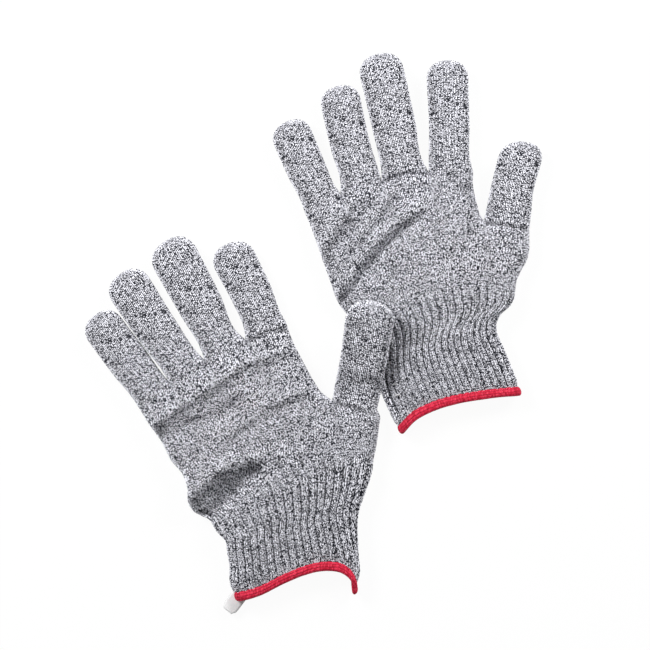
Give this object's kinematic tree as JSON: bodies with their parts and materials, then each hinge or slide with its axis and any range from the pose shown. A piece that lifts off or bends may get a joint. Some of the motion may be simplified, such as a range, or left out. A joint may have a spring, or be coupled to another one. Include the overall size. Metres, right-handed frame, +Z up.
{
  "type": "pair of knitted cut-resistant gloves",
  "caption": "Pair of seamless knitted cut-resistant gloves with ribbed cuffs, bound hems, bending fingers and thumbs, lying palm up with one thumb over the other glove.",
  "frame": {"origin": "centre of the pair's bounding box, on the table the gloves lie on", "axes": "+Z up from the table, palms up; +Y towards the fingertips, along the longest side; +X to the back glove's thumb"},
  "size_m": [0.2849, 0.3539, 0.0406],
  "materials": {
    "knit": "marled grey and white seamless knit",
    "hem_thread": "red overlock thread",
    "elastic": "covered elastic yarn",
    "label": "blank woven tape"
  },
  "bodies": {
    "back_hand": {"back_upper_palm": "knit", "back_lower_palm": "knit", "back_rib_cuff": "knit", "back_hem_overlock": "hem_thread", "back_cuff_elastic": "elastic"},
    "back_little_finger_body": {"back_little_finger": "knit"},
    "back_ring_finger_body": {"back_ring_finger": "knit"},
    "back_middle_finger_body": {"back_middle_finger": "knit"},
    "back_index_finger_body": {"back_index_finger": "knit"},
    "back_thumb_body": {"back_thumb": "knit"},
    "front_hand": {"front_upper_palm": "knit", "front_lower_palm": "knit", "front_rib_cuff": "knit", "front_hem_overlock": "hem_thread", "front_cuff_elastic": "elastic", "front_size_label": "label"},
    "front_little_finger_body": {"front_little_finger": "knit"},
    "front_ring_finger_body": {"front_ring_finger": "knit"},
    "front_middle_finger_body": {"front_middle_finger": "knit"},
    "front_index_finger_body": {"front_index_finger": "knit"},
    "front_thumb_body": {"front_thumb": "knit"}
  },
  "joints": [
    {"name": "back_little_finger_bend", "type": "hinge", "parent": "back_hand", "child": "back_little_finger_body", "pos_m": [0.0074, 0.08235, 0.0165], "axis": [0.9087, 0.4174, 0], "range_deg": [0, 85]},
    {"name": "back_ring_finger_bend", "type": "hinge", "parent": "back_hand", "child": "back_ring_finger_body", "pos_m": [0.03164, 0.0908, 0.0165], "axis": [0.9693, 0.2457, 0], "range_deg": [0, 85]},
    {"name": "back_middle_finger_bend", "type": "hinge", "parent": "back_hand", "child": "back_middle_finger_body", "pos_m": [0.05947, 0.09759, 0.0165], "axis": [0.9734, 0.229, 0], "range_deg": [0, 85]},
    {"name": "back_index_finger_bend", "type": "hinge", "parent": "back_hand", "child": "back_index_finger_body", "pos_m": [0.08782, 0.10181, 0.0165], "axis": [0.9985, 0.0544, 0], "range_deg": [0, 85]},
    {"name": "back_thumb_bend", "type": "hinge", "parent": "back_hand", "child": "back_thumb_body", "pos_m": [0.12292, 0.06894, 0.0165], "axis": [0.9904, -0.138, 0], "range_deg": [0, 55]},
    {"name": "front_little_finger_bend", "type": "hinge", "parent": "front_hand", "child": "front_little_finger_body", "pos_m": [-0.09809, -0.03916, 0.0165], "axis": [0.793, 0.6092, 0], "range_deg": [0, 85]},
    {"name": "front_ring_finger_bend", "type": "hinge", "parent": "front_hand", "child": "front_ring_finger_body", "pos_m": [-0.07752, -0.02447, 0.0165], "axis": [0.8326, 0.5539, 0], "range_deg": [0, 85]},
    {"name": "front_middle_finger_bend", "type": "hinge", "parent": "front_hand", "child": "front_middle_finger_body", "pos_m": [-0.05388, -0.01074, 0.0165], "axis": [0.891, 0.454, 0], "range_deg": [0, 85]},
    {"name": "front_index_finger_bend", "type": "hinge", "parent": "front_hand", "child": "front_index_finger_body", "pos_m": [-0.02866, 0.00155, 0.0165], "axis": [0.907, 0.4211, 0], "range_deg": [0, 85]},
    {"name": "front_thumb_bend", "type": "hinge", "parent": "front_hand", "child": "front_thumb_body", "pos_m": [0.02706, -0.04469, 0.0165], "axis": [0.9852, -0.1714, 0], "range_deg": [0, 55]},
    {"name": "front_glove_lift", "type": "slide", "parent": "back_hand", "child": "front_hand", "axis": [0, 0, 1], "range_m": [0, 0.08]}
  ]
}
